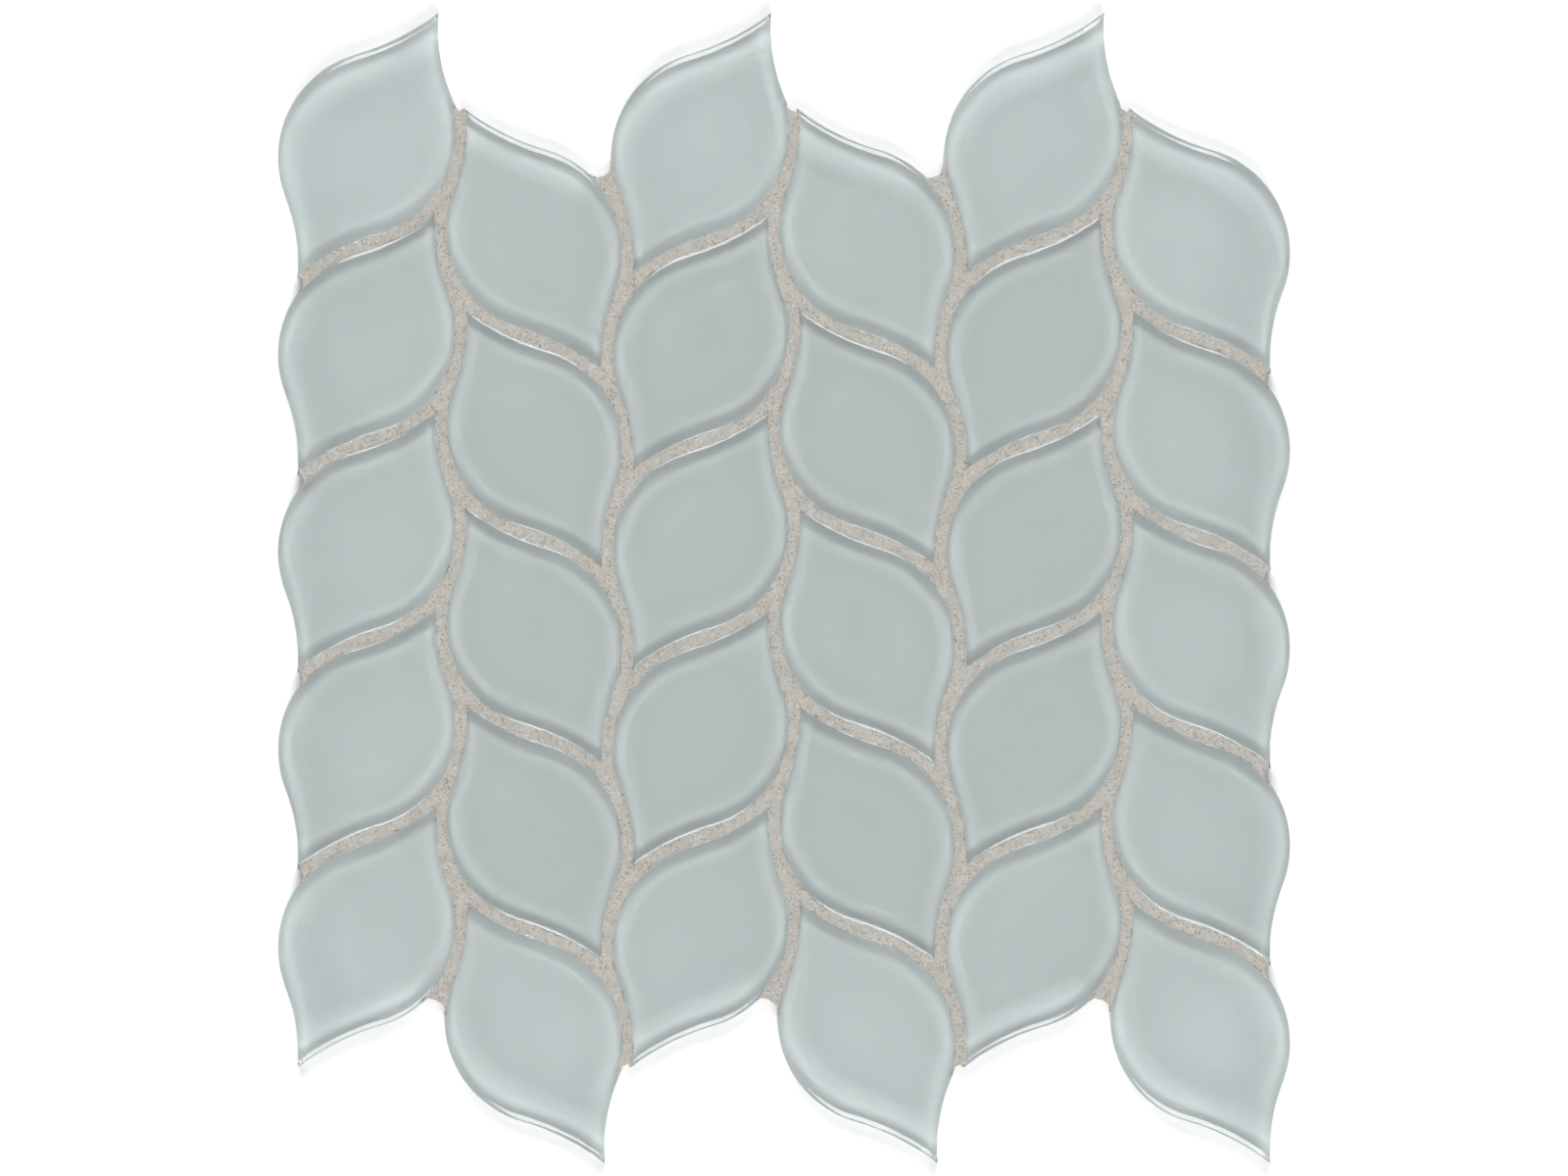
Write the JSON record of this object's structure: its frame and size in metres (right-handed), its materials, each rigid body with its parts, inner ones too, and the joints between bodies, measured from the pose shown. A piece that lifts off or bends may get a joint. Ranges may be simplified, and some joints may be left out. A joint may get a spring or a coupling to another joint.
{
  "type": "glass mosaic tile sheet",
  "caption": "Glass mosaic sheet of nested leaf-shaped tiles in pale green-grey, with beige sanded grout in the joints and a fibreglass mesh on the back.",
  "frame": {"origin": "middle of the sheet's bounding box, on the plane that its back lies on", "axes": "+Z out of the glass face, +Y along the columns of leaves and up in the picture, +X across them"},
  "size_m": [0.2584, 0.2936, 0.0084],
  "materials": {
    "glass": "clear polished glass with a rounded rim, painted pale green-grey on the back, so opaque",
    "grout": "matt sanded cement grout, fine grained",
    "mesh": "off-white open fibreglass mesh"
  },
  "bodies": {
    "root": {"leaf_c1_r1": "glass", "leaf_c1_r2": "glass", "leaf_c1_r3": "glass", "leaf_c1_r4": "glass", "leaf_c1_r5": "glass", "leaf_c2_r1": "glass", "leaf_c2_r2": "glass", "leaf_c2_r3": "glass", "leaf_c2_r4": "glass", "leaf_c2_r5": "glass", "leaf_c3_r1": "glass", "leaf_c3_r2": "glass", "leaf_c3_r3": "glass", "leaf_c3_r4": "glass", "leaf_c3_r5": "glass", "leaf_c4_r1": "glass", "leaf_c4_r2": "glass", "leaf_c4_r3": "glass", "leaf_c4_r4": "glass", "leaf_c4_r5": "glass", "leaf_c5_r1": "glass", "leaf_c5_r2": "glass", "leaf_c5_r3": "glass", "leaf_c5_r4": "glass", "leaf_c5_r5": "glass", "leaf_c6_r1": "glass", "leaf_c6_r2": "glass", "leaf_c6_r3": "glass", "leaf_c6_r4": "glass", "leaf_c6_r5": "glass", "grout": "grout", "mesh_warp": "mesh", "mesh_weft": "mesh"}
  },
  "joints": []
}
